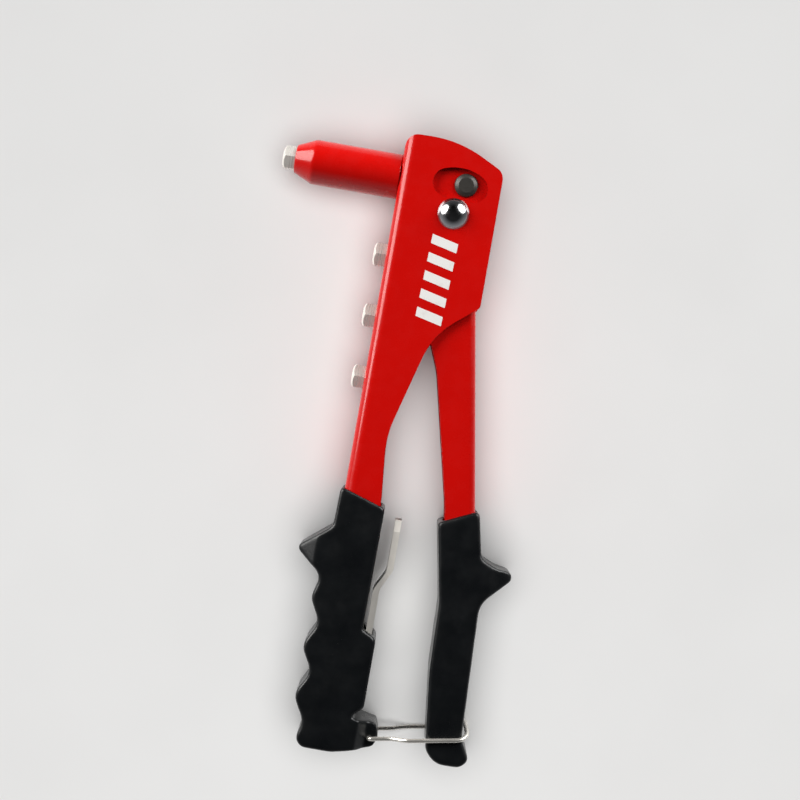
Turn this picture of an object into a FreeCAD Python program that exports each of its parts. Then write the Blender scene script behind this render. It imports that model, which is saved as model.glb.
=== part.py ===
import FreeCAD, Part
import Sketcher
import math
import os

# Hand riveter with two jaws and a latching wire bail, lying on its side.
# Origin: centre of the fitted nosepiece's mouth. The nose points along -X, +Y runs up
# towards the head, +Z is square to the side plates. Millimetres and degrees.
# Outlines are drawn from the lever's pivot, with the handles closed and latched.

SIZES = {
    # the whole tool
    "reach": 76.4,             # nosepiece mouth to pivot, along the nose
    "axis_rise": 13.0,         # nose axis above the pivot
    "running_gap": 0.05,       # radial clearance of pins, shafts and slides
    "seat_gap": 0.05,          # clearance of pieces that are fastened together
    # frame: one folded sheet
    "sheet": 2.0,
    "frame_width": 23.0,
    "bend": 4.5,               # outer radius of the folds
    "spine_offset": 25.3,      # outer face of the spine, ahead of the pivot
    "arm_width": 16.3,
    "head_top": 31.3,
    "head_rear": 18.2,
    "head_drop": 37.6,         # pivot down to the rear lower corner of the head
    "arm_bare": 122.0,         # pivot down to the grips' upper edge
    "arm_core": 91.0,          # length of steel inside a grip
    # nose
    "barrel_diameter": 19.3,
    "barrel_wall": 2.15,
    "barrel_tip_diameter": 12.0,
    "barrel_taper": 8.0,
    "barrel_end_wall": 6.0,    # threaded end that takes the nosepiece
    "tail_diameter": 14.0,
    "tail_wall": 0.6,          # rear wall of the bore, ahead of the spine
    "nut_rim": 1.3,
    "nut_thickness": 4.0,
    # nosepieces
    "hex_flats": 9.6,
    "hex_height": 5.5,
    "nosepiece_thread": 8.0,
    "spare_first": 21.6,       # pivot down to the first spare nosepiece
    "spare_pitch": 26.65,
    "bore_fitted": 2.2,
    "bore_spare_small": 1.7,
    "bore_spare_medium": 2.6,
    "bore_spare_large": 3.0,
    # lever and its pins
    "lever_side_gap": 0.25,    # lever to side plate
    "lever_rear": 9.93,        # rear edge of the lever, carried up to the pivot's height
    "lever_slope": 0.1738,     # how fast that edge leans back on the way down
    "lever_head_wall": 2.2,    # steel round the drive pin
    "bush_diameter": 10.0,
    "rivet_shank": 7.0,
    "rivet_dome": 13.4,
    "rivet_dome_height": 3.6,
    "pin_diameter": 10.0,
    "pin_recess": 0.5,         # drive pin's ends, inside the side plates' outer faces
    "pin_over": 0.4,           # radius of the pin's path, beyond the height of the nose axis
    "pin_angle": 14.5,         # from straight above the pivot, handles latched
    "slot_over": 0.6,
    "slot_play": 1.1,
    "slot_front_angle": 20.6,
    "slot_rear_angle": 29.0,
    # pulling parts
    "stroke": 8.8,             # travel from handles latched to handles open
    "eye_side_gap": 0.3,
    "eye_bush_gap": 0.6,
    "eye_length": 16.4,
    "eye_play": 0.15,          # drive pin to eye, along the pull
    "eye_lift": 0.75,          # how far the drive pin rises and falls in the eye
    "shank_diameter": 8.4,
    "case_length": 19.95,
    "cone_mouth": 5.6,
    "cone_angle": 12.0,
    "cone_length": 10.4,
    "case_thread": 10.4,
    "jaw_length": 8.8,
    "jaw_gap": 0.4,            # between the two jaws' flats
    "case_nut_thickness": 3.8,
    "jaw_spring_wire": 0.7,
    "return_spring_wire": 1.1,
    # grips
    "grip_wall": 1.5,
    "grip_edge": 1.4,
    "heel_step": 4.0,          # the heel is thinner than the grip by this on each side
    "spur_tip": 15.0,          # thickness the spurs slope down to
    # latch and wrench
    "bail_wire": 1.9,
    "wrench_thickness": 2.8,
    "wrench_width": 15.0,
    "wrench_mouth": 10.0,
}

doc = FreeCAD.newDocument("riveter")
sheet = doc.addObject("Spreadsheet::Sheet", "Sizes")


class Size:
    """A number together with its expression on the sheet."""

    def __init__(self, value, text):
        self.value = value
        self.text = text

    def combined(self, other, sign):
        other = as_size(other)
        total = self.value + other.value if sign == "+" else self.value - other.value
        return Size(total, f"({self.text} {sign} {other.text})")

    def __add__(self, other):
        return self.combined(other, "+")

    def __sub__(self, other):
        return self.combined(other, "-")

    def __radd__(self, other):
        return as_size(other) + self

    def __rsub__(self, other):
        return as_size(other) - self

    def __neg__(self):
        return Size(-self.value, f"(-1 * {self.text})")

    def __mul__(self, factor):
        factor = as_size(factor)
        return Size(self.value * factor.value, f"({self.text} * {factor.text})")

    __rmul__ = __mul__

    def __truediv__(self, divisor):
        divisor = as_size(divisor)
        return Size(self.value / divisor.value, f"({self.text} / {divisor.text})")


def as_size(number):
    """A plain number as a Size whose expression is the number itself."""
    return number if isinstance(number, Size) else Size(float(number), f"({float(number)})")


def sine(angle):
    return Size(math.sin(math.radians(angle.value)), f"sin({angle.text})")


def cosine(angle):
    return Size(math.cos(math.radians(angle.value)), f"cos({angle.text})")


def tangent(angle):
    return Size(math.tan(math.radians(angle.value)), f"tan({angle.text})")


for row, (alias, number) in enumerate(SIZES.items(), start=1):
    sheet.set(f"A{row}", alias)
    sheet.set(f"B{row}", str(number))
    sheet.setAlias(f"B{row}", alias)
doc.recompute()


def size(alias):
    """One driving dimension, read from the sheet."""
    return Size(float(getattr(sheet, alias)), f"Sizes.{alias}")


# ---------------------------------------------------------------- building blocks

def bind(thing, path, amount):
    thing.setExpression(path, as_size(amount).text)


def place(thing, x, y, z=0.0, axis=None, degrees=0.0):
    """Set a piece's placement: its turn by value, its position by expressions."""
    turn = FreeCAD.Rotation(FreeCAD.Vector(*axis), degrees) if axis else FreeCAD.Rotation()
    thing.Placement = FreeCAD.Placement(FreeCAD.Vector(), turn)
    bind(thing, "Placement.Base.x", x)
    bind(thing, "Placement.Base.y", y)
    bind(thing, "Placement.Base.z", z)


def new_body(name, x=0.0, y=0.0, z=0.0, axis=None, degrees=0.0):
    body = doc.addObject("PartDesign::Body", name)
    body.Label = name
    place(body, x, y, z, axis, degrees)
    return body


def new_sketch(body, name, plane="XY", offset=None):
    sketch = body.newObject("Sketcher::SketchObject", name)
    origin = body.Origin.OriginFeatures
    sketch.AttachmentSupport = [(next(f for f in origin if f.Role == plane + "_Plane"), "")]
    sketch.MapMode = "FlatFace"
    if offset is not None:
        bind(sketch, "AttachmentOffset.Base.z", offset)
    return sketch


def constrain(sketch, amount, *terms):
    """Add a dimension and bind it to its expression."""
    amount = as_size(amount)
    index = sketch.addConstraint(Sketcher.Constraint(*terms, amount.value))
    sketch.setExpression(f"Constraints[{index}]", amount.text)


def pin_point(sketch, geometry, end, x, y):
    """Hold one point of the sketch at x, y."""
    constrain(sketch, x, "DistanceX", -1, 1, geometry, end)
    constrain(sketch, y, "DistanceY", -1, 1, geometry, end)


def circle(sketch, x, y, radius):
    x, y, radius = as_size(x), as_size(y), as_size(radius)
    centre = FreeCAD.Vector(x.value, y.value, 0)
    index = sketch.addGeometry(Part.Circle(centre, FreeCAD.Vector(0, 0, 1), radius.value))
    pin_point(sketch, index, 3, x, y)
    constrain(sketch, radius, "Radius", index)


def rounded_corner(before, corner, after, radius):
    """Tangent points, centre and turning sense of the arc that rounds a corner."""
    back = (before - corner).normalize()
    ahead = (after - corner).normalize()
    half = back.getAngle(ahead) / 2
    centre = corner + (back + ahead).normalize() * (radius / math.sin(half))
    reach = radius / math.tan(half)
    left = (corner - before).cross(after - corner).z > 0
    return corner + back * reach, corner + ahead * reach, centre, left


def outline(sketch, corners):
    """Closed outline through corners (x, y, radius); every corner and radius is bound."""
    corners = [tuple(as_size(number) for number in corner) for corner in corners]
    points = [FreeCAD.Vector(x.value, y.value, 0) for x, y, _ in corners]
    count = len(corners)
    starts, ends, arcs = [], [], []
    for i, (_, _, radius) in enumerate(corners):
        arrive, leave, arc = points[i], points[i], None
        if radius.value > 0:
            before, after = points[i - 1], points[(i + 1) % count]
            arrive, leave, centre, left = rounded_corner(before, points[i], after, radius.value)
            first, last = (arrive, leave) if left else (leave, arrive)
            angles = [math.atan2(p.y - centre.y, p.x - centre.x) for p in (first, last)]
            ring = Part.Circle(centre, FreeCAD.Vector(0, 0, 1), radius.value)
            arc = (sketch.addGeometry(Part.ArcOfCircle(ring, *angles)), left)
        ends.append(arrive)
        starts.append(leave)
        arcs.append(arc)
    lines = [sketch.addGeometry(Part.LineSegment(starts[i], ends[(i + 1) % count]))
             for i in range(count)]
    for i, (x, y, radius) in enumerate(corners):
        arriving, leaving = lines[i - 1], lines[i]
        if arcs[i] is None:
            sketch.addConstraint(Sketcher.Constraint("Coincident", arriving, 2, leaving, 1))
            pin_point(sketch, leaving, 1, x, y)
            continue
        arc, left = arcs[i]
        near, far = (1, 2) if left else (2, 1)
        sketch.addConstraint(Sketcher.Constraint("Tangent", arriving, 2, arc, near))
        sketch.addConstraint(Sketcher.Constraint("Tangent", leaving, 1, arc, far))
        constrain(sketch, radius, "Radius", arc)
        mark = sketch.addGeometry(Part.Point(points[i]), True)
        sketch.addConstraint(Sketcher.Constraint("PointOnObject", mark, 1, arriving))
        sketch.addConstraint(Sketcher.Constraint("PointOnObject", mark, 1, leaving))
        pin_point(sketch, mark, 1, x, y)


def kidney(sketch, orbit, half, front_angle, rear_angle):
    """Slot bent about the sketch's origin, from front_angle to rear_angle off straight up."""
    centre, normal = FreeCAD.Vector(), FreeCAD.Vector(0, 0, 1)
    first = math.radians(90 - rear_angle.value)
    last = math.radians(90 + front_angle.value)
    ends = [FreeCAD.Vector(math.cos(a), math.sin(a), 0) * orbit.value for a in (first, last)]
    outer = sketch.addGeometry(Part.ArcOfCircle(
        Part.Circle(centre, normal, (orbit + half).value), first, last))
    inner = sketch.addGeometry(Part.ArcOfCircle(
        Part.Circle(centre, normal, (orbit - half).value), first, last))
    rear = sketch.addGeometry(Part.ArcOfCircle(
        Part.Circle(ends[0], normal, half.value), first - math.pi, first))
    front = sketch.addGeometry(Part.ArcOfCircle(
        Part.Circle(ends[1], normal, half.value), last, last + math.pi))
    for joint in ((outer, 1, rear, 2), (outer, 2, front, 1), (inner, 2, front, 2),
                  (inner, 1, rear, 1)):
        sketch.addConstraint(Sketcher.Constraint("Tangent", *joint))
    for arc, radius in ((outer, orbit + half), (inner, orbit - half)):
        sketch.addConstraint(Sketcher.Constraint("Coincident", arc, 3, -1, 1))
        constrain(sketch, radius, "Radius", arc)
    constrain(sketch, orbit * sine(rear_angle), "DistanceX", -1, 1, rear, 3)
    constrain(sketch, -(orbit * sine(front_angle)), "DistanceX", -1, 1, front, 3)


def pad(body, sketch, length, both_ways=True, backwards=False):
    """Thicken a sketch, half each way, or one way only."""
    feature = body.newObject("PartDesign::Pad", sketch.Name + "_pad")
    return extrude(feature, sketch, length, both_ways, backwards)


def pocket(body, sketch, length, both_ways=True, backwards=False):
    """Cut a sketch through the body, and make sure that it took something away."""
    doc.recompute()
    before = body.Shape.Volume
    feature = body.newObject("PartDesign::Pocket", sketch.Name + "_cut")
    extrude(feature, sketch, length, both_ways, backwards)
    doc.recompute()
    if body.Shape.Volume > before - 1e-3:
        raise RuntimeError(f"{feature.Name} cut nothing")
    return feature


def extrude(feature, sketch, length, both_ways, backwards):
    feature.Profile = sketch
    feature.SideType = "Symmetric" if both_ways else "One side"
    feature.Reversed = backwards
    bind(feature, "Length", length)
    return feature


def revolve(body, sketch):
    feature = body.newObject("PartDesign::Revolution", sketch.Name + "_turned")
    feature.Profile = sketch
    feature.ReferenceAxis = (sketch, ["H_Axis"])
    feature.Angle = 360
    return feature


def turned(name, profile, x=0.0, y=0.0, z=0.0, axis=None, degrees=0.0):
    """A lathe-turned body: a profile of (along, radius, rounding) about its own X axis."""
    body = new_body(name, x, y, z, axis, degrees)
    sketch = new_sketch(body, name + "_profile")
    outline(sketch, profile)
    revolve(body, sketch)
    return body


def round_edges(body, radius, wanted, name):
    """Fillet the edges of the body's tip that the test wanted(edge) picks."""
    doc.recompute()
    tip = body.Tip
    edges = [f"Edge{i}" for i, edge in enumerate(tip.Shape.Edges, start=1) if wanted(edge)]
    fillet = body.newObject("PartDesign::Fillet", name)
    fillet.Base = (tip, edges)
    bind(fillet, "Radius", radius)
    return fillet


def lies_at(edge, **limits):
    """Is the whole edge at the given coordinates, within a hair?"""
    points = [edge.valueAt(p) for p in edge.ParameterRange] + [edge.CenterOfMass]
    return all(abs(abs(getattr(point, axis)) - abs(level)) < 1e-4
               for axis, level in limits.items() for point in points)


# ---------------------------------------------------------------- places shared by pieces

reach, axis_rise = size("reach"), size("axis_rise")
plate = size("sheet")
gap = size("running_gap")
seat = size("seat_gap")
spine = -size("spine_offset")                      # outer face of the spine
arm_edge = spine + size("arm_width")               # inner edge of the fixed arm
grip_top = -size("arm_bare")
core_end = grip_top - size("arm_core")
pivot = (reach, -axis_rise)                        # where outlines are drawn from
spares = [-(size("spare_first") + size("spare_pitch") * i) for i in range(3)]

# widths across the tool, from the frame inwards and outwards
frame_width = size("frame_width")
lever_width = frame_width - (plate + size("lever_side_gap")) * 2
eye_thickness = lever_width - (plate + size("eye_side_gap")) * 2
grip_width = frame_width + size("grip_wall") * 2
heel_width = grip_width - size("heel_step") * 2
through = frame_width + 30                         # length of a cut that goes right through

# nose, from its mouth backwards
barrel_start = size("hex_height")
barrel_end = reach + spine
barrel_bore = size("barrel_diameter") / 2 - size("barrel_wall")
bore_start = barrel_start + size("barrel_end_wall")
bore_end = barrel_end - size("tail_wall")
tail_end = barrel_end + plate + size("nut_thickness") + 0.3
shank = size("shank_diameter") / 2
shank_hole = shank + 0.2

# lever
pin_orbit = axis_rise + size("pin_over")
pin_radius = size("pin_diameter") / 2
pin_back = pin_orbit * sine(size("pin_angle"))
pin_up = pin_orbit * cosine(size("pin_angle"))
web_top = -22.0


def lever_edge(level):
    """How far behind the pivot the lever's rear edge is, at a level counted from the pivot."""
    return size("lever_rear") - size("lever_slope") * level


lever_bend = grip_top - 27                         # where the lever turns into line
lever_end = core_end + 8
lever_foot = lever_edge(lever_bend) + 3.1          # rear edge at its lower end
lever_at_grip = lever_edge(grip_top)


# ---------------------------------------------------------------- frame

def build_body_frame():
    """Folded sheet: the spine with a side plate on each side, running down into the arm."""
    body = new_body("body_frame", *pivot)
    section = new_sketch(body, "frame_section", "XZ")
    half, inner = frame_width / 2, frame_width / 2 - plate
    open_side = size("head_rear") + 4
    bend = size("bend")
    outline(section, [
        (spine, -half, bend), (open_side, -half, 0), (open_side, -inner, 0),
        (spine + plate, -inner, bend - plate), (spine + plate, inner, bend - plate),
        (open_side, inner, 0), (open_side, half, 0), (spine, half, bend)])
    pad(body, section, (size("arm_bare") + size("arm_core") + 20) * 2)
    sides = new_sketch(body, "frame_outline")
    low, high, far = core_end - 260, size("head_top") + 260, 90
    outline(sides, [(spine - far, low, 0), (far, low, 0), (far, high, 0), (spine - far, high, 0)])
    rear, top = size("head_rear"), size("head_top")
    outline(sides, [
        (spine, core_end, 0), (arm_edge, core_end, 2), (arm_edge, grip_top - 4, 20),
        (spine + 13.6, grip_top + 24, 45), (0.4, -size("head_drop") - 14.5, 34),
        (rear, -size("head_drop"), 2.5), (rear, top - 10.6, 5.5), (rear - 21.0, top - 0.2, 50),
        (spine, top - 0.7, 5.5)])
    pocket(body, sides, through)
    slot = new_sketch(body, "pin_slot")
    kidney(slot, axis_rise + size("slot_over"), pin_radius + size("slot_play"),
           size("slot_front_angle"), size("slot_rear_angle"))
    pocket(body, slot, through)
    hole = new_sketch(body, "rivet_hole")
    circle(hole, 0, 0, size("rivet_shank") / 2 + seat)
    pocket(body, hole, through)
    holes = new_sketch(body, "spine_holes", "YZ")
    circle(holes, axis_rise, 0, size("tail_diameter") / 2 + seat)
    for level in spares:
        circle(holes, level, 0, size("nosepiece_thread") / 2 + seat)
    pocket(body, holes, size("spine_offset") + 10, both_ways=False)
    return body


def build_nose_barrel():
    """Turned barrel: threaded end for the nosepiece, bore for the jaw case, threaded tail."""
    wide, tip = size("barrel_diameter") / 2, size("barrel_tip_diameter") / 2
    bore, tail = barrel_bore, size("tail_diameter") / 2
    thread = size("nosepiece_thread") / 2 + seat
    return turned("nose_barrel", [
        (barrel_start, thread, 0), (bore_start, thread, 0), (bore_start, bore, 0),
        (bore_end, bore, 0), (bore_end, shank_hole, 0), (tail_end, shank_hole, 0),
        (tail_end, tail, 0), (barrel_end - seat, tail, 0), (barrel_end - seat, wide, 0.4),
        (barrel_start + size("barrel_taper"), wide, 4), (barrel_start, tip, 0.5)])


def build_barrel_locknut():
    """Round slotted nut that clamps the barrel to the spine from inside."""
    start = barrel_end + plate + seat
    end = start + size("nut_thickness")
    hole, rim = size("tail_diameter") / 2 + seat, size("tail_diameter") / 2 + size("nut_rim")
    nut = turned("barrel_locknut", [(start, hole, 0), (start, rim, 1.2), (end, rim, 0.4),
                                    (end, hole, 0)])
    slots = new_sketch(nut, "spanner_slots", "YZ", end)
    for side in (1, -1):
        outline(slots, [(side * (hole + 0.6), -1.2, 0), (side * (rim + 1), -1.2, 0),
                        (side * (rim + 1), 1.2, 0), (side * (hole + 0.6), 1.2, 0)])
    pocket(nut, slots, 1.6, both_ways=False)
    return nut


def build_nosepiece(name, x=0.0, y=0.0):
    """Hexagonal head with a rounded face, a threaded stem and a bore for the mandrel."""
    body = new_body("nosepiece_" + name, x, y)
    height, flats = size("hex_height"), size("hex_flats") / 2
    corner = flats / math.cos(math.radians(30))
    head = new_sketch(body, name + "_hexagon", "YZ")
    outline(head, [(corner * math.sin(math.radians(60 * i)),
                    corner * math.cos(math.radians(60 * i)), 0) for i in range(6)])
    pad(body, head, height, both_ways=False)
    face = new_sketch(body, name + "_face")
    outline(face, [(-1, flats - 1.5, 0), (0, flats - 1.5, 0), (0.5, flats - 0.35, 0),
                   (1.7, corner + 0.6, 0), (-1, corner + 0.6, 0)])
    groove = body.newObject("PartDesign::Groove", name + "_face_cut")
    groove.Profile = face
    groove.ReferenceAxis = (face, ["H_Axis"])
    groove.Angle = 360
    stem = new_sketch(body, name + "_stem", "YZ", height)
    circle(stem, 0, 0, size("nosepiece_thread") / 2)
    pad(body, stem, size("barrel_end_wall") - 0.2, both_ways=False)
    hole = new_sketch(body, name + "_bore", "YZ")
    circle(hole, 0, 0, size("bore_" + name) / 2)
    pocket(body, hole, through)
    return body


def build_pivot_rivet():
    """Domed rivet through the side plates, on which the bush and the lever turn."""
    radius, height = size("rivet_dome") / 2, size("rivet_dome_height")
    ball = (radius * radius / height + height) / 2
    stem = doc.addObject("Part::Cylinder", "rivet_stem")
    bind(stem, "Radius", size("rivet_shank") / 2)
    bind(stem, "Height", frame_width + seat * 2)
    place(stem, reach, -axis_rise, -(frame_width / 2) - seat)
    domes = []
    for name, side in (("dome_near", 1), ("dome_far", -1)):
        dome = doc.addObject("Part::Sphere", name)
        bind(dome, "Radius", ball)
        start = math.degrees(math.asin((ball - height).value / ball.value))
        dome.Angle1, dome.Angle2 = (start, 90) if side > 0 else (-90, -start)
        place(dome, reach, -axis_rise, side * (frame_width / 2 + seat - ball + height))
        domes.append(dome)
    rivet = doc.addObject("Part::MultiFuse", "pivot_rivet")
    rivet.Shapes = [stem] + domes
    rivet.Refine = True
    return rivet


def build_pivot_bush():
    """Steel tube between the side plates that the lever turns on."""
    half = frame_width / 2 - plate - seat
    bore, wall = size("rivet_shank") / 2 + seat, size("bush_diameter") / 2
    return turned("pivot_bush", [
        (-half, bore, 0), (half, bore, 0), (half, wall, 0), (-half, wall, 0)],
        *pivot, 0, axis=(0, 1, 0), degrees=90)


# ---------------------------------------------------------------- lever

def build_lever():
    """Folded sheet: round head with the pivot and drive pin holes, web on the rear side."""
    body = new_body("lever", *pivot)
    head = pin_orbit + pin_radius + size("lever_head_wall")
    rear = size("head_rear") - 1.9
    sides = new_sketch(body, "lever_outline")
    outline(sides, [
        (-head, -6, 12), (-head, head, head - 0.01), (rear, head, 11.9), (rear - 1.1, 2, 14),
        (lever_edge(web_top) - 3.6, web_top, 0), (lever_edge(web_top), web_top, 0),
        (lever_edge(lever_bend), lever_bend, 60), (lever_foot, lever_end, 0),
        (lever_foot - 11.8, lever_end, 0), (lever_at_grip - 6.3, grip_top - 43, 60),
        (lever_at_grip - 13.2, grip_top, 60), (4.8, -67, 40)])
    pad(body, sides, lever_width)
    hollow = new_sketch(body, "lever_hollow")
    skin = plate * 1.015
    outline(hollow, [
        (-40, 40, 0), (-40, lever_end - 20, 0), (lever_foot - plate, lever_end - 20, 0),
        (lever_foot - plate, lever_end, 0),
        (lever_edge(lever_bend) - skin, lever_bend, 60 + plate),
        (lever_edge(web_top) - skin, web_top, 0), (40, web_top, 0), (40, 40, 0)])
    pocket(body, hollow, lever_width - plate * 2)

    def along_web(level, reach_in):
        """Picks the edges at this level that follow the web."""
        def wanted(edge):
            middle = edge.CenterOfMass
            on_run = lever_end.value + 0.5 < middle.y < web_top - 0.5
            return (lies_at(edge, z=level) and on_run
                    and middle.x > lever_edge(middle.y).value - reach_in)
        return wanted

    bend = size("bend") - 1.5
    half = (lever_width / 2).value
    round_edges(body, bend, along_web(half, 8), "lever_bends")
    round_edges(body, bend - plate, along_web(half - plate.value, 9.5), "lever_bends_inside")
    hole = new_sketch(body, "lever_pivot_hole")
    circle(hole, 0, 0, size("bush_diameter") / 2 + gap)
    pocket(body, hole, through)
    pin_hole = new_sketch(body, "drive_pin_hole")
    circle(pin_hole, pin_back, pin_up, pin_radius + seat)
    pocket(body, pin_hole, through)
    return body


def build_drive_pin():
    """Pin with bevelled ends, pressed through the lever's cheeks, its ends running in the slots."""
    half = frame_width / 2 - size("pin_recess")
    face, drop = pin_radius - 1.8, 0.9
    return turned("drive_pin", [
        (-half, 0, 0), (half, 0, 0), (half, face, 0.4), (half - drop, pin_radius, 0.9),
        (drop - half, pin_radius, 0.9), (-half, face, 0.4)],
        reach + pin_back, pin_up - axis_rise, 0, axis=(0, 1, 0), degrees=90)


# ---------------------------------------------------------------- pulling parts

case_front = bore_start + size("stroke") + 0.35
case_end = case_front + size("case_length")
cone_end = case_front + size("cone_length")
cone_mouth = size("cone_mouth") / 2
cone_wide = cone_mouth + size("cone_length") * tangent(size("cone_angle"))
thread = size("case_thread") / 2
jaw_front = case_front + 0.35
flange_start = jaw_front + size("jaw_length") + 0.25
flange_end = flange_start + 1.2
puller_front = flange_end + 3.2
spring_room = thread - 1.9                         # radius of the jaw spring's chamber
chamber_end = puller_front + 8
nut_end = case_end + 0.2 + size("case_nut_thickness")


def build_jaw_case():
    """Case whose front cone closes the jaws; it slides in the barrel."""
    outside = barrel_bore - gap
    return turned("jaw_case", [
        (case_front, cone_mouth, 0), (cone_end, cone_wide, 0), (cone_end, thread + seat, 0),
        (case_end, thread + seat, 0), (case_end, outside, 0.5), (case_front, outside, 0.8)])


def build_case_locknut():
    """Nut that locks the jaw case on the pull head's thread."""
    radius = barrel_bore - 0.5
    return turned("jaw_case_locknut", [
        (case_end + 0.2, thread + seat, 0), (nut_end, thread + seat, 0), (nut_end, radius, 0.5),
        (case_end + 0.2, radius, 0.5)])


def build_pull_head():
    """Hollow threaded front, shank through the barrel's tail and an eye for the drive pin."""
    eye_front = reach + pin_back - size("eye_length") / 2
    eye_back = eye_front + size("eye_length")
    height = axis_rise - size("bush_diameter") / 2 - size("eye_bush_gap")
    body = turned("pull_head", [
        (puller_front, spring_room, 0), (chamber_end, spring_room, 0), (chamber_end, 0, 0),
        (eye_front + 2, 0, 0), (eye_front + 2, shank, 0), (nut_end, shank, 0),
        (nut_end, thread, 0), (puller_front, thread, 0.4)])
    eye = new_sketch(body, "eye_outline")
    outline(eye, [(eye_front, -height, 3), (eye_back, -height, 5), (eye_back, height, 5),
                  (eye_front, height, 3)])
    pad(body, eye, eye_thickness)
    slot = new_sketch(body, "eye_slot")
    half = pin_radius + size("eye_play")
    middle, bow = reach + pin_back, half - 0.01
    low, high = -pin_radius - size("eye_lift") - 0.15, pin_radius + size("eye_lift") - 0.15
    outline(slot, [(middle - half, low, bow), (middle + half, low, bow),
                   (middle + half, high, bow), (middle - half, high, bow)])
    pocket(body, slot, through)
    return body


def build_jaw(name, side):
    """Half cone with a toothed flat that grips the mandrel."""
    slope = tangent(size("cone_angle"))
    end = jaw_front + size("jaw_length")
    narrow = cone_mouth + (jaw_front - case_front) * slope - gap
    wide = narrow + size("jaw_length") * slope
    body = turned(name, [
        (jaw_front, 0.6, 0), (end, 0.6, 0), (end, wide - 0.6, 0), (end - 0.6, wide - 0.1, 0),
        (jaw_front, narrow, 0)])
    flat = new_sketch(body, name + "_flat")
    level = side * (size("jaw_gap") / 2)
    away = -side * 9
    outline(flat, [(jaw_front - 1, away, 0), (end + 1, away, 0), (end + 1, level, 0),
                   (jaw_front - 1, level, 0)])
    pocket(body, flat, through)
    teeth = new_sketch(body, name + "_teeth")
    depth, pitch = 0.3, 1.1
    for i in range(6):
        start = jaw_front + 1.2 + i * pitch
        outline(teeth, [(start, level - side * 0.2, 0), (start + 0.7, level - side * 0.2, 0),
                        (start + 0.35, level + side * depth, 0)])
    pocket(body, teeth, through)
    return body


def build_jaw_pusher():
    """Flanged tube that the jaw spring presses against the jaws."""
    return turned("jaw_pusher", [
        (flange_start, 1.3, 0), (flange_end + 4, 1.3, 0), (flange_end + 4, 2.0, 0),
        (flange_end, 2.0, 0), (flange_end, thread - 0.5, 0), (flange_start, thread - 0.5, 0.3)])


def build_spring(name, start, end, radius, turns):
    """Compression spring about the nose axis, its ends a hair clear of what they press."""
    wire = size(name + "_wire")
    body = new_body(name, start + wire / 2 + gap)
    section = new_sketch(body, name + "_wire")
    circle(section, 0, radius, wire / 2)
    coil = body.newObject("PartDesign::AdditiveHelix", name + "_coil")
    coil.Profile = section
    coil.ReferenceAxis = (section, ["H_Axis"])
    coil.Mode = "height-turns-angle"
    bind(coil, "Height", end - start - wire - gap * 2)
    coil.Turns = turns
    return body


# ---------------------------------------------------------------- grips

def slope_sides(body, name, start, run, thin, beyond, level=0.0, height=through):
    """Slope both side faces of a grip inwards from x = start, down to the half width thin."""
    sides = new_sketch(body, name, "XZ", -as_size(level))
    half = grip_width / 2
    for sign in (1, -1):
        outline(sides, [(start, sign * half, 0), (start + run, sign * thin, 0),
                        (beyond, sign * thin, 0), (beyond, sign * (half + 2), 0),
                        (start, sign * (half + 2), 0)])
    pocket(body, sides, height)


bail_pivot = (arm_edge + 12.1, grip_top - 104.3)
bail_bar = (lever_at_grip + 12.65, grip_top - 93.7)  # where the loop lies in the notch
wrench_low = arm_edge + 3.1                # front face of the part that is in the pocket
wrench_high = wrench_low + 4.3             # front face of the part that stands clear
wrench_top = grip_top - 10.7
wrench_end = grip_top - 86.0


def build_fixed_grip():
    """Moulded grip on the arm: finger waves and spur in front, wrench pocket behind."""
    body = new_body("fixed_grip", *pivot)
    front, back, top = spine, arm_edge, grip_top
    shape = new_sketch(body, "fixed_grip_outline")
    outline(shape, [
        (front - 1.6, top, 1.6), (back + 2.2, top - 6.2, 2), (back + 1.7, top - 58.5, 1.8),
        (back + 8.0, top - 61.5, 3), (back + 8.0, top - 91.6, 1.6), (back + 3.2, top - 95.8, 0.6),
        (back + 6.5, top - 97.5, 1.6), (back + 6.5, top - 110.2, 3), (back - 3, top - 112.4, 15),
        (front - 3.5, top - 112.4, 4.5), (front - 0.3, top - 101.4, 7), (front - 6.4, top - 90.6, 7),
        (front - 0.5, top - 80, 7), (front - 6.6, top - 69.5, 7), (front - 0.8, top - 59, 7),
        (front - 6.3, top - 48.8, 7), (front - 3.3, top - 39.2, 6), (front - 16.4, top - 29, 2.2),
        (front - 2.1, top - 17.5, 4)])
    pad(body, shape, grip_width)
    half = (grip_width / 2).value
    round_edges(body, size("grip_edge"), lambda edge: lies_at(edge, z=half), "fixed_grip_edges")
    heel = new_sketch(body, "heel_outline")
    outline(heel, [
        (back - 1, top - 96, 0), (back + 14.2, top - 97.4, 1.6), (back + 16.2, top - 103.4, 3),
        (back + 14.4, top - 107.6, 3), (back + 7.6, top - 109.9, 6), (back - 1, top - 111, 0)])
    pad(body, heel, grip_width)
    slope_sides(body, "heel_sides", back + 6.4, 4.2, heel_width / 2, back + 20, top - 106, 20)
    slope_sides(body, "spur_sides", front - 7.4, -10, size("spur_tip") / 2, front - 20, top - 28, 40)
    core = new_sketch(body, "arm_socket")
    high = top + 20
    outline(core, [(front - seat, core_end - seat, 0), (back + seat, core_end - seat, 0),
                   (back + seat, top - 4, 0), (back + 2, high, 0), (front - seat, high, 0)])
    pocket(body, core, frame_width + seat * 2)
    store = new_sketch(body, "wrench_pocket")
    left, right = wrench_low - 0.3, wrench_low + size("wrench_thickness") + 0.3
    outline(store, [(left, wrench_end - 0.5, 0), (right, wrench_end - 0.5, 0),
                    (right, top - 50, 0), (left, top - 50, 0)])
    pocket(body, store, size("wrench_width") + 0.8)
    hole = new_sketch(body, "bail_hole")
    circle(hole, *bail_pivot, size("bail_wire") / 2 + gap)
    pocket(body, hole, through)
    return body


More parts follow.
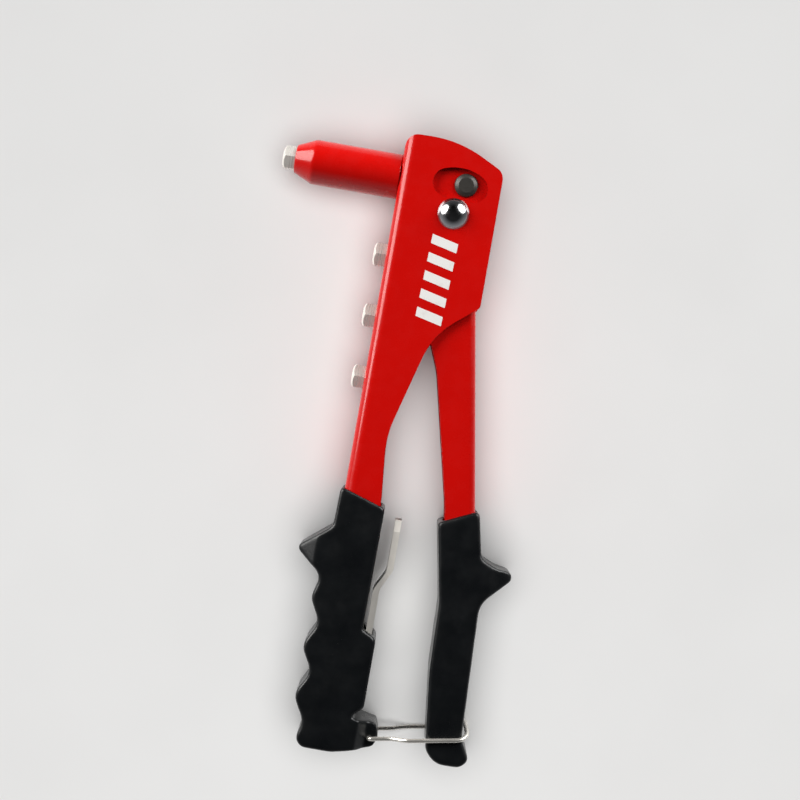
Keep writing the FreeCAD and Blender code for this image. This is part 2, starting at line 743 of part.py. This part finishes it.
def build_lever_grip():
    """Moulded grip on the lever, with a spur outside and a lip below the latch notch."""
    body = new_body("lever_grip", *pivot)
    rear, top = lever_at_grip, grip_top
    shape = new_sketch(body, "lever_grip_outline")
    outline(shape, [
        (rear - 14.8, top - 8.3, 1.6), (rear + 1.9, top - 0.5, 1.8), (rear + 6.1, top - 20.3, 5),
        (rear + 13.5, top - 23.5, 12), (rear + 23.8, top - 24.6, 2.8), (rear + 8.7, top - 39.3, 11),
        (rear + 11.0, top - 97.0, 8), (rear + 15.6, top - 105.7, 2.8), (rear + 12.4, top - 109.5, 5),
        (rear + 1.4, top - 109.8, 9), (rear - 3.5, top - 104.4, 6),
        (rear - 7.6, top - 71, 90), (rear - 8.5, top - 42, 30)])
    pad(body, shape, grip_width)
    half = (grip_width / 2).value
    round_edges(body, size("grip_edge"), lambda edge: lies_at(edge, z=half), "lever_grip_edges")
    slope_sides(body, "lever_spur_sides", rear + 10.6, 14, size("spur_tip") / 2, rear + 30,
                top - 30, 40)
    core = new_sketch(body, "lever_socket")
    high = top + 14
    end = lever_end - 0.5
    outline(core, [
        (rear - 15.8, high, 0), (rear - 13.2 - seat, top, 60), (rear - 6.3 - seat, top - 43, 60),
        (lever_foot - 11.8 - seat, end, 0), (lever_foot + seat, end, 0),
        (lever_edge(lever_bend) + seat, lever_bend, 60), (lever_edge(high) + seat, high, 0)])
    pocket(body, core, lever_width + seat * 2)
    return body


# ---------------------------------------------------------------- latch and wrench

def tube_path(points, radii):
    """Straight runs joined by tangent arcs, as one wire."""
    edges, start = [], points[0]
    for i in range(1, len(points) - 1):
        radius = radii[i - 1]
        back = (points[i - 1] - points[i]).normalize()
        ahead = (points[i + 1] - points[i]).normalize()
        half = back.getAngle(ahead) / 2
        reach_back = radius / math.tan(half)
        bisector = (back + ahead).normalize()
        arrive, leave = points[i] + back * reach_back, points[i] + ahead * reach_back
        middle = points[i] + bisector * (radius / math.sin(half) - radius)
        edges.append(Part.makeLine(start, arrive))
        edges.append(Part.Arc(arrive, middle, leave).toShape())
        start = leave
    edges.append(Part.makeLine(start, points[-1]))
    return Part.Wire(edges)


def build_latch_bail():
    """Wire bail: ends sprung into the fixed grip's heel, loop round the lever grip."""
    wire = size("bail_wire").value
    near = (heel_width / 2).value + wire / 2 + 0.4
    wide = (grip_width / 2).value + wire / 2 + 0.25
    across, up = ((there - here).value for there, here in zip(bail_bar, bail_pivot))
    sag = 3.1                       # how far the legs run below the bar
    half = [FreeCAD.Vector(0, 0, near - 5.5), FreeCAD.Vector(0, 0, near),
            FreeCAD.Vector(across * 0.24, (up - sag) * 0.24, near),
            FreeCAD.Vector(across * 0.39, (up - sag) * 0.37, wide),
            FreeCAD.Vector(across + 0.8, up - sag, wide), FreeCAD.Vector(across, up, wide - 5.0)]
    mirrored = [FreeCAD.Vector(p.x, p.y, -p.z) for p in reversed(half)]
    bends = [1.6, 8.0, 8.0, 4.5, 4.5]
    path = tube_path(half + mirrored, bends + bends[::-1])
    section = Part.Wire(Part.makeCircle(wire / 2, half[0], FreeCAD.Vector(0, 0, 1)))
    solid = path.makePipeShell([section], True, False)
    expected = math.pi * (wire / 2) ** 2 * path.Length
    if abs(solid.Volume / expected - 1) > 0.01:
        raise RuntimeError("the bail's wire is not as long as its path")
    bail = doc.addObject("Part::Feature", "latch_bail")
    bail.Shape = solid
    place(bail, reach + bail_pivot[0], bail_pivot[1] - axis_rise)
    return bail


def build_wrench():
    """Joggled flat spanner for the nosepieces, stored in the fixed grip's pocket."""
    body = new_body("nosepiece_wrench", *pivot)
    thick = size("wrench_thickness")
    left, right = wrench_low, wrench_high
    side = new_sketch(body, "wrench_side")
    bend_top, bend_low = grip_top - 32.5, grip_top - 41
    outline(side, [
        (left, wrench_end, 0), (left + thick, wrench_end, 0), (left + thick, bend_low, 6),
        (right + thick, bend_top, 6), (right + thick, wrench_top, 0), (right, wrench_top, 0),
        (right, bend_top - 0.8, 6), (left, bend_low - 0.8, 6)])
    pad(body, side, size("wrench_width"))
    mouth = new_sketch(body, "wrench_mouth", "YZ")
    half, edge = size("wrench_mouth") / 2, size("wrench_width") / 2
    outline(mouth, [
        (wrench_top + 1, -half, 0), (wrench_top + 1, half, 0), (wrench_top - 8, half, 3),
        (wrench_top - 11, 0, 3), (wrench_top - 8, -half, 3)])
    pocket(body, mouth, through)
    corners = new_sketch(body, "wrench_corners", "YZ")
    for sign in (1, -1):
        outline(corners, [
            (wrench_top + 1, sign * (edge + 1), 0), (wrench_top + 1, sign * (edge - 1.6), 0),
            (wrench_top, sign * (edge - 1.6), 0), (wrench_top - 5, sign * edge, 0),
            (wrench_top - 5, sign * (edge + 1), 0)])
        outline(corners, [
            (wrench_end - 1, sign * (edge + 1), 0), (wrench_end - 1, sign * (edge - 4), 0),
            (wrench_end, sign * (edge - 4), 0), (wrench_end + 4, sign * edge, 0),
            (wrench_end + 4, sign * (edge + 1), 0)])
    pocket(body, corners, through)
    return body


# ---------------------------------------------------------------- assembly

pieces = [
    build_body_frame(),
    build_nose_barrel(),
    build_barrel_locknut(),
    build_nosepiece("fitted"),
    build_pivot_rivet(),
    build_pivot_bush(),
    build_lever(),
    build_drive_pin(),
    build_jaw_case(),
    build_case_locknut(),
    build_pull_head(),
    build_jaw("jaw_upper", 1),
    build_jaw("jaw_lower", -1),
    build_jaw_pusher(),
    build_spring("jaw_spring", flange_end, chamber_end, spring_room - 0.65, 6),
    build_spring("return_spring", nut_end, bore_end, (barrel_bore + shank) / 2, 4),
    build_fixed_grip(),
    build_lever_grip(),
    build_latch_bail(),
    build_wrench(),
]
for name, level in zip(("spare_small", "spare_medium", "spare_large"), spares):
    head_x = barrel_end - size("hex_height") - seat
    pieces.append(build_nosepiece(name, head_x, level - axis_rise))

doc.recompute()
for thing in doc.Objects:
    if "Invalid" in thing.State or "Error" in thing.State:
        raise RuntimeError(f"{thing.Name} did not build: {thing.State}")
os.makedirs("parts", exist_ok=True)
for piece in pieces:
    shape = piece.Shape
    if shape.isNull() or not shape.isValid() or not shape.Solids:
        raise RuntimeError(f"{piece.Label} has no valid solid")
    shape.exportStep(f"parts/{piece.Label}.step")
    print(f"{piece.Label:20s} {len(shape.Solids)} solid(s) {shape.Volume:10.1f} mm3")
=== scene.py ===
import math

import bmesh
import bpy
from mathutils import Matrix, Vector


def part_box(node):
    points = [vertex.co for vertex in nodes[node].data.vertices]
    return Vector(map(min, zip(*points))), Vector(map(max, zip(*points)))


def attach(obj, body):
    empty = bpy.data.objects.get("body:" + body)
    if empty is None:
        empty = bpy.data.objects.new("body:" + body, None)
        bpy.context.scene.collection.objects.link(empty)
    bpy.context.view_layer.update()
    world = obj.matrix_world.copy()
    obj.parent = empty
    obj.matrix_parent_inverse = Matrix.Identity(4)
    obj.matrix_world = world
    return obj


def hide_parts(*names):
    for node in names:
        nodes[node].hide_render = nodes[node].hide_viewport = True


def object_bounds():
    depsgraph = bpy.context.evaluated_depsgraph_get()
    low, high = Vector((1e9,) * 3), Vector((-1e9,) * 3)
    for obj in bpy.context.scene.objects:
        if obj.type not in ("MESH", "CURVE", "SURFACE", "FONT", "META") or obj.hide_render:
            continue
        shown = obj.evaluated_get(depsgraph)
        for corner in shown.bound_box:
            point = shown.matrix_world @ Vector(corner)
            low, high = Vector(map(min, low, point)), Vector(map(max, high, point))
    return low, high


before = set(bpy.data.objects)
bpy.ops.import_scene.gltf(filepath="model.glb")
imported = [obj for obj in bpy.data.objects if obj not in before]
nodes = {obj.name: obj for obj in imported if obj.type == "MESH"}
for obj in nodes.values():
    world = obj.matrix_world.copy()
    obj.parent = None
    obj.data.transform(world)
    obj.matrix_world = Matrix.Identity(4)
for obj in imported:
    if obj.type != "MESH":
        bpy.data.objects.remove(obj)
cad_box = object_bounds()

MM = 0.001


# ------------------------------------------------------------------ materials

class Recipe:
    """One procedural material: a principled shader and short calls that build its inputs."""

    def __init__(self, name, colour, metallic=0.0, roughness=0.4):
        self.material = bpy.data.materials.new(name)
        self.material.use_nodes = True
        self.tree = self.material.node_tree
        self.shader = self.tree.nodes["Principled BSDF"]
        self.colour = self.rgb(colour)
        self.place = self.add("TexCoord").outputs["Object"]
        self.shader.inputs["Metallic"].default_value = metallic
        self.shader.inputs["Roughness"].default_value = roughness
        self.bump_normal = None

    def add(self, kind, **settings):
        node = self.tree.nodes.new("ShaderNode" + kind)
        for key, value in settings.items():
            setattr(node, key, value)
        return node

    def join(self, source, target):
        self.tree.links.new(source, target)

    def rgb(self, colour):
        node = self.add("RGB")
        node.outputs[0].default_value = (*colour, 1.0)
        return node.outputs[0]

    def noise(self, scale, detail=3.0, stretch=(1.0, 1.0, 1.0), roughness=0.55):
        """Noise over the object's own coordinates, features about 1/scale metres."""
        mapping = self.add("Mapping")
        mapping.inputs["Scale"].default_value = stretch
        texture = self.add("TexNoise")
        texture.inputs["Scale"].default_value = scale
        texture.inputs["Detail"].default_value = detail
        texture.inputs["Roughness"].default_value = roughness
        self.join(self.place, mapping.inputs["Vector"])
        self.join(mapping.outputs["Vector"], texture.inputs["Vector"])
        return texture.outputs["Fac"]

    def cells(self, scale):
        """Distance to the nearest of scattered points, about 1/scale metres apart."""
        texture = self.add("TexVoronoi")
        texture.inputs["Scale"].default_value = scale
        self.join(self.place, texture.inputs["Vector"])
        return texture.outputs["Distance"]

    def ramp(self, source, low, high, bottom=0.0, top=1.0):
        """Source from low..high mapped to bottom..top, clamped."""
        node = self.add("MapRange")
        for name, value in (("From Min", low), ("From Max", high), ("To Min", bottom),
                            ("To Max", top)):
            node.inputs[name].default_value = value
        self.join(source, node.inputs["Value"])
        return node.outputs["Result"]

    def times(self, first, second):
        node = self.add("Math", operation="MULTIPLY")
        self.join(first, node.inputs[0])
        self.join(second, node.inputs[1])
        return node.outputs[0]

    def edges(self, radius, low=0.02, high=0.16):
        """1 along convex edges and corners, 0 on open faces."""
        bevel = self.add("Bevel", samples=6)
        bevel.inputs["Radius"].default_value = radius
        flat = self.add("NewGeometry").outputs["Normal"]
        dot = self.add("VectorMath", operation="DOT_PRODUCT")
        self.join(bevel.outputs["Normal"], dot.inputs[0])
        self.join(flat, dot.inputs[1])
        return self.ramp(dot.outputs["Value"], 1.0 - low, 1.0 - high)

    def tint(self, mask, colour):
        """Blend the colour so far towards another where the mask is 1."""
        mix = self.add("Mix", data_type="RGBA")
        self.join(mask, mix.inputs["Factor"])
        self.join(self.colour, mix.inputs["A"])
        self.join(self.rgb(colour), mix.inputs["B"])
        self.colour = mix.outputs["Result"]

    def gloss(self, source, low, high):
        """Roughness between low and high, following a noise."""
        self.join(self.ramp(source, 0.3, 0.7, low, high), self.shader.inputs["Roughness"])

    def bump(self, source, depth, strength):
        node = self.add("Bump")
        node.inputs["Distance"].default_value = depth
        node.inputs["Strength"].default_value = strength
        self.join(source, node.inputs["Height"])
        if self.bump_normal is not None:
            self.join(self.bump_normal, node.inputs["Normal"])
        self.bump_normal = node.outputs["Normal"]

    def done(self, **constants):
        self.join(self.colour, self.shader.inputs["Base Color"])
        if self.bump_normal is not None:
            self.join(self.bump_normal, self.shader.inputs["Normal"])
        for name, value in constants.items():
            self.shader.inputs[name.replace("_", " ")].default_value = value
        return self.material


def red_enamel():
    paint = Recipe("red_enamel", (0.56, 0.0032, 0.0018))
    cloudy = paint.ramp(paint.noise(38, 2), 0.35, 0.7, 0.0, 0.22)
    paint.tint(cloudy, (0.42, 0.003, 0.0022))
    patches = paint.ramp(paint.noise(420, 4), 0.5, 0.62)
    rubbed = paint.times(paint.edges(0.7 * MM, 0.03, 0.2), patches)
    paint.tint(rubbed, (0.2, 0.01, 0.008))
    paint.gloss(paint.noise(160, 4), 0.2, 0.34)
    paint.bump(paint.noise(620, 2), 0.02 * MM, 0.5)
    paint.bump(paint.noise(90, 2), 0.05 * MM, 0.35)
    return paint.done(Coat_Weight=0.45, Coat_Roughness=0.07, Specular_IOR_Level=0.2)


def black_vinyl():
    vinyl = Recipe("black_vinyl", (0.0035, 0.0042, 0.005))
    handled = vinyl.ramp(vinyl.noise(70, 3), 0.4, 0.75, 0.0, 0.5)
    vinyl.tint(handled, (0.0075, 0.0085, 0.0095))
    patches = vinyl.ramp(vinyl.noise(300, 4), 0.42, 0.6)
    rubbed = vinyl.times(vinyl.edges(1.2 * MM, 0.02, 0.2), patches)
    vinyl.tint(rubbed, (0.016, 0.0165, 0.017))
    dust = vinyl.ramp(vinyl.cells(420), 0.035, 0.02)
    vinyl.tint(dust, (0.07, 0.072, 0.07))
    vinyl.gloss(vinyl.noise(120, 4), 0.24, 0.4)
    vinyl.bump(vinyl.noise(1700, 3), 0.045 * MM, 0.7)
    vinyl.bump(vinyl.noise(130, 2), 0.12 * MM, 0.3)
    return vinyl.done(Specular_IOR_Level=0.42)


RINGS = (1.0, 0.04, 0.04)          # marks that run round the nose axis
ALONG_WIRE = (0.15, 1.0, 1.0)
ALONG_SHEET = (1.0, 0.08, 1.0)
EVEN = (1.0, 1.0, 1.0)


def plated(name, colour, roughness, grain, marks, edge_wear_and_highlight, metallic=1.0, depth=0.012):
    """Polished or brushed metal: grain of about 1/grain metres laid along the marks, rubbed edges in
    the edge_wear_and_highlight colour; on the blackened steel that pale edge is also a painted
    highlight.

    depth is in millimetres.
    """
    metal = Recipe(name, colour, metallic)
    cloudy = metal.ramp(metal.noise(150, 3), 0.4, 0.7, 0.0, 0.5)
    metal.tint(cloudy, tuple(c * 0.86 for c in colour))
    patches = metal.ramp(metal.noise(500, 3), 0.4, 0.6)
    # Edges tinted as rubbed wear. On the blackened steel the pale edge colour is also a painted
    # highlight.
    metal.tint(metal.times(metal.edges(0.35 * MM), patches), edge_wear_and_highlight)
    lines = metal.noise(grain, 4, marks)
    metal.gloss(lines, roughness * 0.75, roughness * 1.4)
    metal.bump(lines, depth * MM, 0.5)
    return metal.done()


RED = red_enamel()
VINYL = black_vinyl()
NICKEL = plated("nickel", (0.93, 0.89, 0.83), 0.28, 1500, RINGS, edge_wear_and_highlight=(0.8, 0.78, 0.74),
                metallic=0.5, depth=0.003)
WIRE = plated("nickel_wire", (0.86, 0.83, 0.77), 0.24, 900, ALONG_WIRE, edge_wear_and_highlight=(0.6, 0.58, 0.54),
              metallic=0.8, depth=0.004)
SHEET = plated("nickel_sheet", (0.93, 0.89, 0.82), 0.32, 700, ALONG_SHEET, edge_wear_and_highlight=(0.75, 0.72, 0.67),
               metallic=0.2)
DOME = plated("dark_chrome", (0.42, 0.42, 0.43), 0.13, 500, EVEN, edge_wear_and_highlight=(0.5, 0.5, 0.5), depth=0.004)
# Blackened pin: its pale edge colour is bare steel rubbed through and also a painted highlight on the
# chamfer.
BLACKED_WITH_EDGE_HIGHLIGHT = plated("blackened_steel", (0.05, 0.046, 0.041), 0.36, 2600, EVEN, edge_wear_and_highlight=(0.2, 0.19, 0.175),
                 metallic=0.35, depth=0.004)
TURNED = plated("turned_steel", (0.5, 0.49, 0.47), 0.3, 1800, RINGS, edge_wear_and_highlight=(0.62, 0.61, 0.6))
HARD = plated("hard_steel", (0.3, 0.3, 0.31), 0.32, 900, RINGS, edge_wear_and_highlight=(0.5, 0.5, 0.5))
SPRING = plated("spring_steel", (0.34, 0.33, 0.32), 0.3, 900, EVEN, edge_wear_and_highlight=(0.5, 0.5, 0.5))

finishes = {
    "body_frame": RED, "lever": RED, "nose_barrel": RED,
    "fixed_grip": VINYL, "lever_grip": VINYL,
    "nosepiece_fitted": NICKEL, "nosepiece_spare_small": NICKEL,
    "nosepiece_spare_medium": NICKEL, "nosepiece_spare_large": NICKEL,
    "latch_bail": WIRE, "nosepiece_wrench": SHEET, "pivot_rivet": DOME, "drive_pin": BLACKED_WITH_EDGE_HIGHLIGHT,
    "jaw_case": TURNED, "jaw_case_locknut": TURNED, "barrel_locknut": TURNED,
    "pull_head": TURNED, "jaw_pusher": TURNED, "pivot_bush": TURNED,
    "jaw_upper": HARD, "jaw_lower": HARD, "jaw_spring": SPRING, "return_spring": SPRING,
}


def give(thing, material):
    thing.data.materials.clear()
    thing.data.materials.append(material)


for name, material in finishes.items():
    give(nodes[name], material)


# ------------------------------------------------------------------ grips

VOXEL = 0.55 * MM
ROUNDING = 14                      # smoothing passes


def soft_grip(name, body):
    """The grip's solid again with softly rounded edges, as one moulded skin."""
    grip = bpy.data.objects.new(name + "_moulding", nodes[name].data.copy())
    bpy.context.scene.collection.objects.link(grip)
    low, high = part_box(name)
    remesh = grip.modifiers.new("skin", "REMESH")
    remesh.mode = "VOXEL"
    remesh.voxel_size = VOXEL
    smooth = grip.modifiers.new("soft", "SMOOTH")
    smooth.factor = 0.5
    smooth.iterations = ROUNDING
    evaluated = grip.evaluated_get(bpy.context.evaluated_depsgraph_get())
    mesh = bpy.data.meshes.new_from_object(evaluated)
    grip.modifiers.clear()
    grip.data = mesh
    for vertex in mesh.vertices:      # never past the solid's own box
        for axis in range(3):
            vertex.co[axis] = min(max(vertex.co[axis], low[axis]), high[axis])
    for polygon in mesh.polygons:
        polygon.use_smooth = True
    give(grip, VINYL)
    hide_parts(name)
    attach(grip, body)


soft_grip("fixed_grip", "frame")
soft_grip("lever_grip", "lever")


# ------------------------------------------------------------------ print on the head

def white_print():
    ink = Recipe("white_print", (0.8, 0.79, 0.77))
    ink.tint(ink.ramp(ink.noise(260, 4), 0.55, 0.75, 0.0, 0.5), (0.62, 0.55, 0.54))
    ink.gloss(ink.noise(300, 3), 0.3, 0.42)
    ink.bump(ink.noise(700, 3), 0.015 * MM, 0.5)
    return ink.done(Coat_Weight=0.5, Coat_Roughness=0.1)


def head_marks():
    """Five slanted bars printed down the head, in place of lettering."""
    count, length, width = 5, 11.5 * MM, 4.0 * MM
    pitch, slant, ink_height = 7.9 * MM, 2.2 * MM, 0.03 * MM
    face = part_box("body_frame")[1].z
    first = Vector((0.0749, -0.0262, 0.0))
    down = Vector((-0.0348, -0.9994, 0.0))         # 2 degrees off the handles' direction
    across = Vector((0.9994, -0.0348, 0.0))
    corners = [(-1, -1), (1, -1), (1, 1), (-1, 1)]
    form = bmesh.new()
    for i in range(count):
        middle = first + down * (pitch * i)
        rings = []
        for height in (0.0, ink_height):
            lift = Vector((0, 0, face + height))
            rings.append([form.verts.new(middle + across * (side * length / 2)
                                         + down * (end * width / 2 + side * slant / 2) + lift)
                          for side, end in corners])
        base, top = rings
        form.faces.new(top)
        form.faces.new(base[::-1])
        for k in range(len(corners)):
            after = (k + 1) % len(corners)
            form.faces.new((base[k], base[after], top[after], top[k]))
    form.normal_update()
    bmesh.ops.recalc_face_normals(form, faces=form.faces)
    mesh = bpy.data.meshes.new("head_marks")
    form.to_mesh(mesh)
    form.free()
    marks = bpy.data.objects.new("head_marks", mesh)
    bpy.context.scene.collection.objects.link(marks)
    give(marks, white_print())
    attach(marks, "frame")


head_marks()


# ------------------------------------------------------------------ stage, camera, light

def floor_material():
    stone = Recipe("pale_floor", (0.78, 0.775, 0.765), roughness=0.6)
    stone.tint(stone.ramp(stone.noise(9, 3), 0.35, 0.75, 0.0, 0.5), (0.72, 0.715, 0.705))
    stone.bump(stone.noise(240, 3), 0.03 * MM, 0.4)
    return stone.done()


FLOOR_GAP = 0.05 * MM
FLOOR_SIZE = 6.0
FLOOR_MIDDLE = (0.07, -0.1)


def make_floor():
    level = cad_box[0].z - FLOOR_GAP
    bpy.ops.mesh.primitive_plane_add(size=FLOOR_SIZE, location=(*FLOOR_MIDDLE, level))
    floor = bpy.context.object
    floor.name = "floor"
    give(floor, floor_material())
    return floor


LOOK_AT = Vector((0.0678, -0.0949, 0.0))
TILT = math.radians(10)            # how far the tool leans in the picture
RIGHT = Vector((math.cos(TILT), math.sin(TILT), 0))
UP = Vector((-math.sin(TILT), math.cos(TILT), 0))
CAMERA_HEIGHT = 0.66
LENS = 68.7                        # in mm, like the sensor's width
SENSOR = 36


def make_camera():
    camera = bpy.data.objects.new("camera", bpy.data.cameras.new("camera"))
    bpy.context.scene.collection.objects.link(camera)
    camera.location = LOOK_AT + Vector((0, 0, CAMERA_HEIGHT))
    camera.rotation_euler = (0, 0, TILT)
    camera.data.sensor_width = SENSOR
    camera.data.lens = LENS
    camera.data.clip_start = 0.01
    bpy.context.scene.camera = camera


def softbox(name, right, up, height, size, power, tone=(1, 1, 1)):
    """Round soft light, placed as seen in the picture, that looks at the middle of the tool."""
    light = bpy.data.objects.new(name, bpy.data.lights.new(name, "AREA"))
    bpy.context.scene.collection.objects.link(light)
    light.location = LOOK_AT + RIGHT * right + UP * up + Vector((0, 0, height))
    light.rotation_euler = (LOOK_AT - light.location).to_track_quat("-Z", "Y").to_euler()
    light.data.shape = "ELLIPSE"
    light.data.size, light.data.size_y = size
    light.data.energy = power
    light.data.color = tone
    return light


def limit_to(light, thing, state):
    """INCLUDE: the light falls on this thing only. EXCLUDE: on everything else."""
    group = bpy.data.collections.new(light.name + "_receivers")
    group.objects.link(thing)
    group.collection_objects[0].light_linking.link_state = state
    light.light_linking.receiver_collection = group


def make_world():
    """Dark overhead, paler towards the horizon, so that flat faces stay deep and edges catch light."""
    world = bpy.data.worlds.new("studio")
    world.use_nodes = True
    bpy.context.scene.world = world
    tree = world.node_tree
    background = tree.nodes["Background"]
    background.inputs["Color"].default_value = (0.95, 0.97, 1.0, 1)
    place = tree.nodes.new("ShaderNodeTexCoord")
    split = tree.nodes.new("ShaderNodeSeparateXYZ")
    tree.links.new(place.outputs["Generated"], split.inputs["Vector"])

    def fade(axis, low, high, bottom, top):
        node = tree.nodes.new("ShaderNodeMapRange")
        tree.links.new(split.outputs[axis], node.inputs["Value"])
        for name, value in (("From Min", low), ("From Max", high), ("To Min", bottom), ("To Max", top)):
            node.inputs[name].default_value = value
        return node.outputs["Result"]

    level = tree.nodes.new("ShaderNodeMath")
    level.operation = "MULTIPLY"
    tree.links.new(fade("Z", 0.05, 0.7, 0.5, 0.03), level.inputs[0])
    tree.links.new(fade("Y", -0.5, 0.5, 1.0, 0.25), level.inputs[1])
    tree.links.new(level.outputs[0], background.inputs["Strength"])


floor = make_floor()
make_camera()
make_world()
key_left = softbox("key_left", -0.94, 0.63, 0.53, (1.15, 0.95), 24.0, (1.0, 0.985, 0.96))
key_right = softbox("key_right", 0.93, 0.67, 0.52, (1.05, 0.95), 18.0)
floor_light = softbox("floor_light", 0.0, -0.15, 1.8, (2.6, 2.6), 46.0)
limit_to(key_left, floor, "EXCLUDE")
limit_to(key_right, floor, "EXCLUDE")
limit_to(floor_light, floor, "INCLUDE")
bpy.context.scene.view_settings.view_transform = "Standard"
